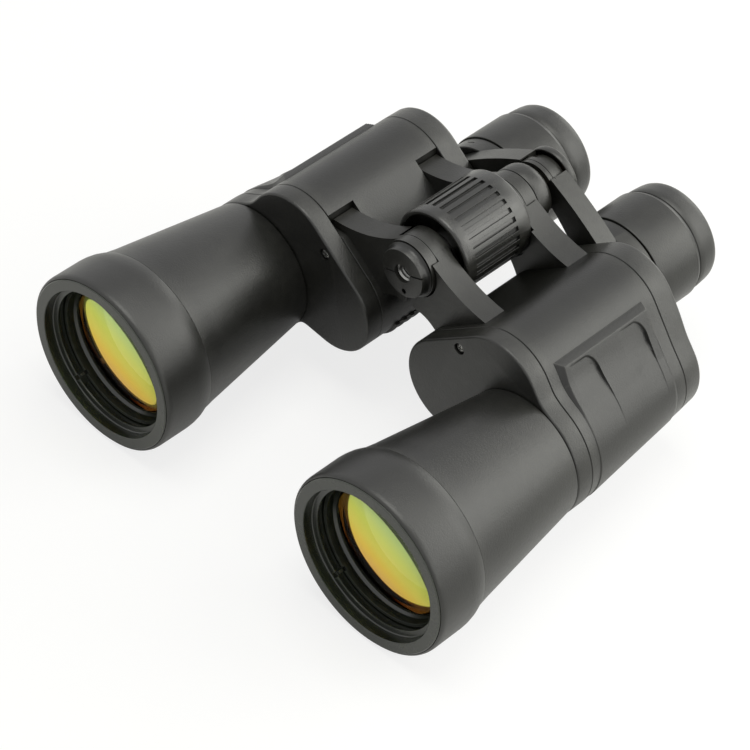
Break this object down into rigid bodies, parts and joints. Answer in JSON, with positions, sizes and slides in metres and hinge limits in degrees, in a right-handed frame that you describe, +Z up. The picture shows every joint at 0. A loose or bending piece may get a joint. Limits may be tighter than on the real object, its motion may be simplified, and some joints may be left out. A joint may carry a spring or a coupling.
{
  "type": "binoculars",
  "caption": "Porro-prism binoculars with a folding centre hinge, a ribbed focus wheel, a sliding eyepiece bridge and wide coated objectives.",
  "frame": {"origin": "bottom centre of the whole object: midway between the halves and midway along the length, at the height of the lowest points of the objective hoods", "axes": "+X to the user's right, across the two barrels; +Y along the optical axes, from the objectives to the eyepieces; +Z up, towards the hinge"},
  "size_m": [0.182, 0.1784, 0.0801],
  "materials": {
    "body_shell": "fine matte texture, warm black",
    "rubber_armour": "matte soft-touch rubber",
    "wheel_rubber": "satin ribbed rubber",
    "painted_casting": "fine satin black paint",
    "black_anodised": "black anodised, fine turned grooves",
    "plated_steel": "plated steel",
    "brass": "turned brass, oiled",
    "coated_glass": "polished, orange to green anti-reflection coating",
    "optical_glass": "polished clear glass"
  },
  "bodies": {
    "left_half": {"left_objective_barrel": "body_shell", "left_objective_hood": "rubber_armour", "left_objective_bezel": "body_shell", "left_lens_retaining_ring": "black_anodised", "left_objective_lens": "coated_glass", "left_prism_housing": "body_shell", "left_front_cover": "body_shell", "left_rear_cover": "body_shell", "left_cover_screw": "plated_steel", "left_grip_panel": "rubber_armour", "left_thumb_rest": "rubber_armour", "left_prism_shelf": "painted_casting", "left_rear_prism": "optical_glass", "left_rear_prism_clip": "plated_steel", "left_front_prism": "optical_glass", "left_front_prism_clip": "plated_steel", "left_front_hinge_arm": "painted_casting", "left_rear_hinge_arm": "painted_casting", "hinge_front_cap": "painted_casting", "hinge_axle": "plated_steel", "hinge_rear_cap": "painted_casting"},
    "right_half": {"right_objective_barrel": "body_shell", "right_objective_hood": "rubber_armour", "right_objective_bezel": "body_shell", "right_lens_retaining_ring": "black_anodised", "right_objective_lens": "coated_glass", "right_prism_housing": "body_shell", "right_front_cover": "body_shell", "right_rear_cover": "body_shell", "right_cover_screw": "plated_steel", "right_grip_panel": "rubber_armour", "right_thumb_rest": "rubber_armour", "right_prism_shelf": "painted_casting", "right_rear_prism": "optical_glass", "right_rear_prism_clip": "plated_steel", "right_front_prism": "optical_glass", "right_front_prism_clip": "plated_steel", "right_front_hinge_arm": "painted_casting", "right_rear_hinge_arm": "painted_casting"},
    "focus_wheel": {"focus_wheel": "wheel_rubber"},
    "left_eyepiece": {"left_bridge_arm": "painted_casting", "left_eyepiece_sleeve": "painted_casting", "left_ocular_tube": "black_anodised", "left_field_lens": "optical_glass", "left_eye_lens": "optical_glass", "left_eyecup": "rubber_armour", "focus_spindle": "brass", "focus_drive_pin": "plated_steel", "bridge_end_cap": "painted_casting"},
    "right_eyepiece": {"right_bridge_arm": "painted_casting"},
    "diopter_ring": {"right_diopter_ring": "painted_casting"},
    "right_ocular": {"right_ocular_tube": "black_anodised", "right_field_lens": "optical_glass", "right_eye_lens": "optical_glass", "right_eyecup": "rubber_armour"}
  },
  "joints": [
    {"name": "fold_hinge", "type": "hinge", "parent": "left_half", "child": "right_half", "pos_m": [0, 0.0128, 0.0647], "axis": [0, -1, 0], "range_deg": [0, 46]},
    {"name": "focus_turn", "type": "hinge", "parent": "left_half", "child": "focus_wheel", "pos_m": [0, 0.0138, 0.0647], "axis": [0, 1, 0], "range_deg": [0, 360]},
    {"name": "left_eyepiece_slide", "type": "slide", "parent": "left_half", "child": "left_eyepiece", "axis": [0, 1, 0], "range_m": [0, 0.007]},
    {"name": "right_eyepiece_slide", "type": "slide", "parent": "right_half", "child": "right_eyepiece", "axis": [0, 1, 0], "range_m": [0, 0.0071]},
    {"name": "diopter_turn", "type": "hinge", "parent": "right_eyepiece", "child": "diopter_ring", "pos_m": [0.0276, 0.0698, 0.0381], "axis": [0, 1, 0], "range_deg": [-60, 60]},
    {"name": "right_ocular_slide", "type": "slide", "parent": "diopter_ring", "child": "right_ocular", "axis": [0, 1, 0], "range_m": [-0.0006, 0.0006]}
  ],
  "couplings": [
    {"joint": "focus_turn", "follows": "left_eyepiece_slide", "rad_per_m": 897.59},
    {"joint": "right_eyepiece_slide", "follows": "left_eyepiece_slide", "ratio": 1},
    {"joint": "diopter_turn", "follows": "right_ocular_slide", "rad_per_m": 1745.3}
  ]
}
